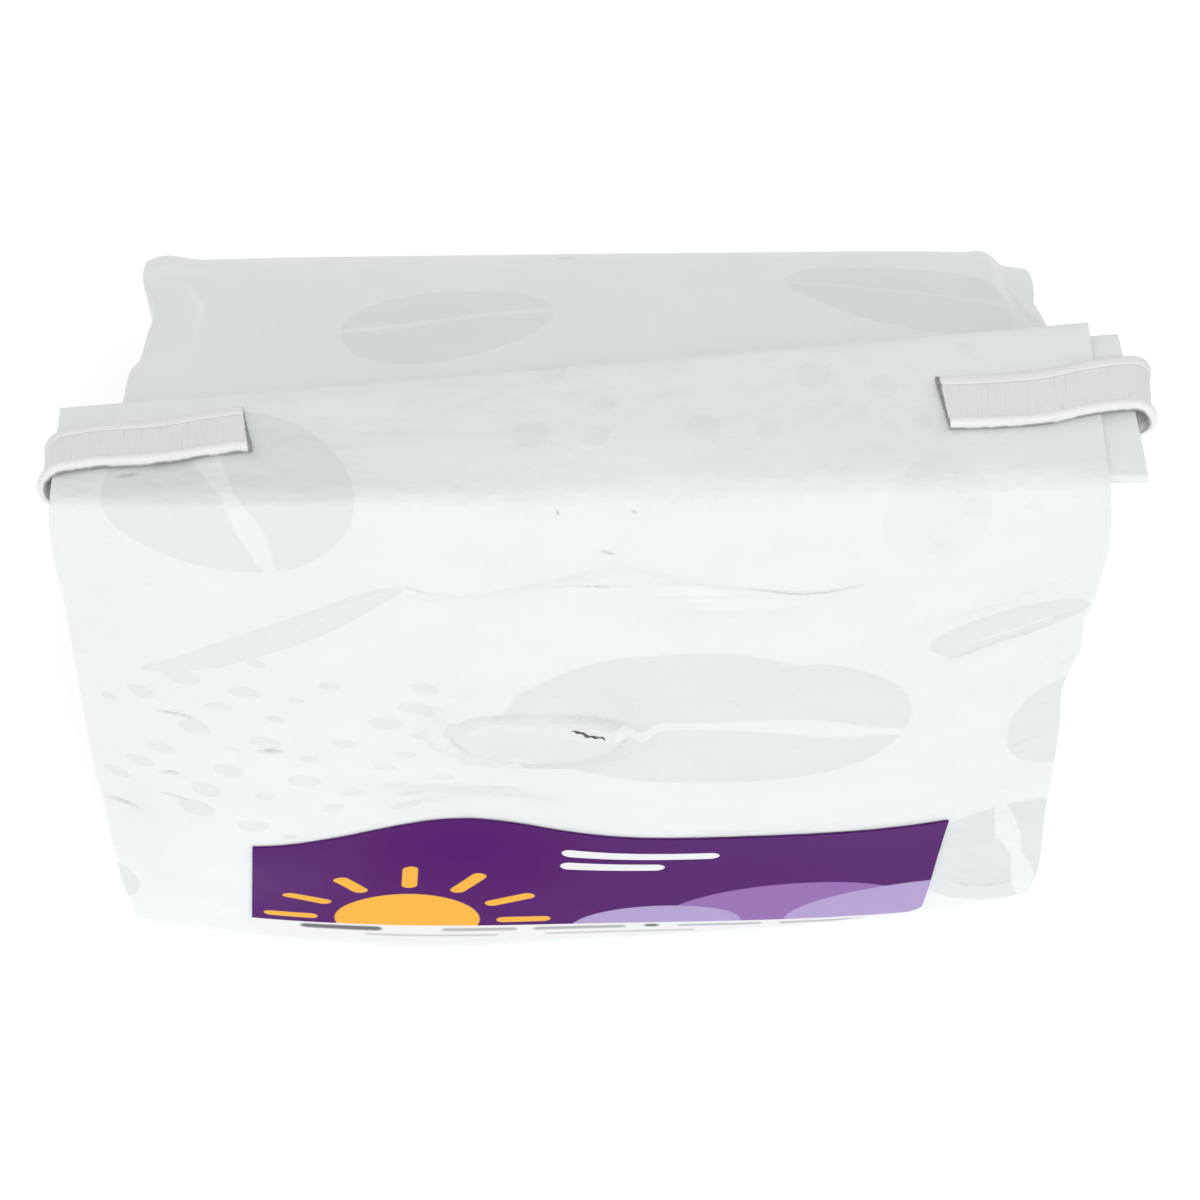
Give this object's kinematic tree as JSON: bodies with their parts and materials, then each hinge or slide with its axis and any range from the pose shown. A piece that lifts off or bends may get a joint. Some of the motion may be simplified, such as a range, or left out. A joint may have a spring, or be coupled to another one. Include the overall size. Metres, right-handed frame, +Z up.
{
  "type": "coffee bag",
  "caption": "Filled film coffee bag standing on its base, its top rolled and folded back over the ridge under a flat tie, with a round valve bump and a wide label low on the front.",
  "frame": {"origin": "middle of the base, at floor level", "axes": "+Z up, +X to the right across the front panel, +Y from the front panel to the back"},
  "size_m": [0.1151, 0.0666, 0.132],
  "materials": {
    "film": "white laminated film with a faint tone-on-tone print of ovals and dots, silky sheen",
    "tie": "light grey plastic band over two wires",
    "label": "purple printed label with lilac and amber shapes and a white lower band"
  },
  "bodies": {
    "root": {"bag": "film", "tin_tie": "tie", "label": "label"}
  },
  "joints": []
}
